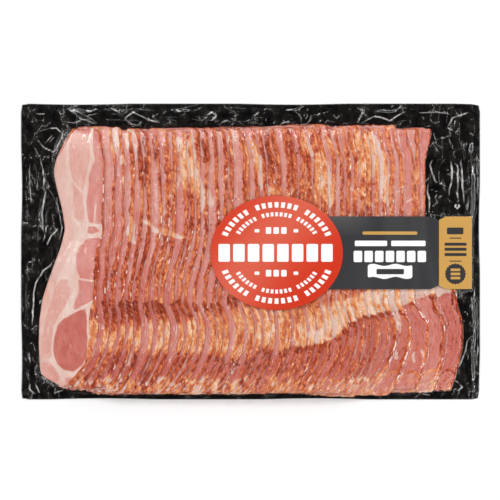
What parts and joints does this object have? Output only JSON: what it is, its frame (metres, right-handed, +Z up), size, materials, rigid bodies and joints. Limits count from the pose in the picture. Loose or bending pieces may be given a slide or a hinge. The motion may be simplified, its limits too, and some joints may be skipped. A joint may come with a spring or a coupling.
{
  "type": "sliced bacon pack",
  "caption": "Flat rectangular pack: shingled streaky bacon slices lie on a glossy black film, sealed under a clear film, with an oval and a band label on top.",
  "frame": {"origin": "on the surface that the pack rests on, below the middle of the pack", "axes": "+X along the long side of the pack, towards the end with the band label; +Y along the slices; +Z up, out of the clear film"},
  "size_m": [0.391, 0.252, 0.0201],
  "materials": {
    "black_film": "glossy",
    "bacon": "moist",
    "clear_film": "glossy",
    "label_red": "satin",
    "label_grey": "satin",
    "label_gold": "satin"
  },
  "bodies": {
    "root": {"backing_film": "black_film", "slice_01": "bacon", "slice_02": "bacon", "slice_03": "bacon", "slice_04": "bacon", "slice_05": "bacon", "slice_06": "bacon", "slice_07": "bacon", "slice_08": "bacon", "slice_09": "bacon", "slice_10": "bacon", "slice_11": "bacon", "slice_12": "bacon", "slice_13": "bacon", "slice_14": "bacon", "slice_15": "bacon", "slice_16": "bacon", "slice_17": "bacon", "slice_18": "bacon", "slice_19": "bacon", "slice_20": "bacon", "slice_21": "bacon", "slice_22": "bacon", "slice_23": "bacon", "slice_24": "bacon", "slice_25": "bacon", "slice_26": "bacon", "slice_27": "bacon", "slice_28": "bacon", "slice_29": "bacon", "slice_30": "bacon", "slice_31": "bacon", "slice_32": "bacon", "slice_33": "bacon", "slice_34": "bacon", "slice_35": "bacon", "slice_36": "bacon", "slice_37": "bacon", "slice_38": "bacon", "slice_39": "bacon", "slice_40": "bacon", "slice_41": "bacon", "clear_film": "clear_film", "label_oval": "label_red", "label_panel": "label_grey", "label_tab": "label_gold"}
  },
  "joints": []
}
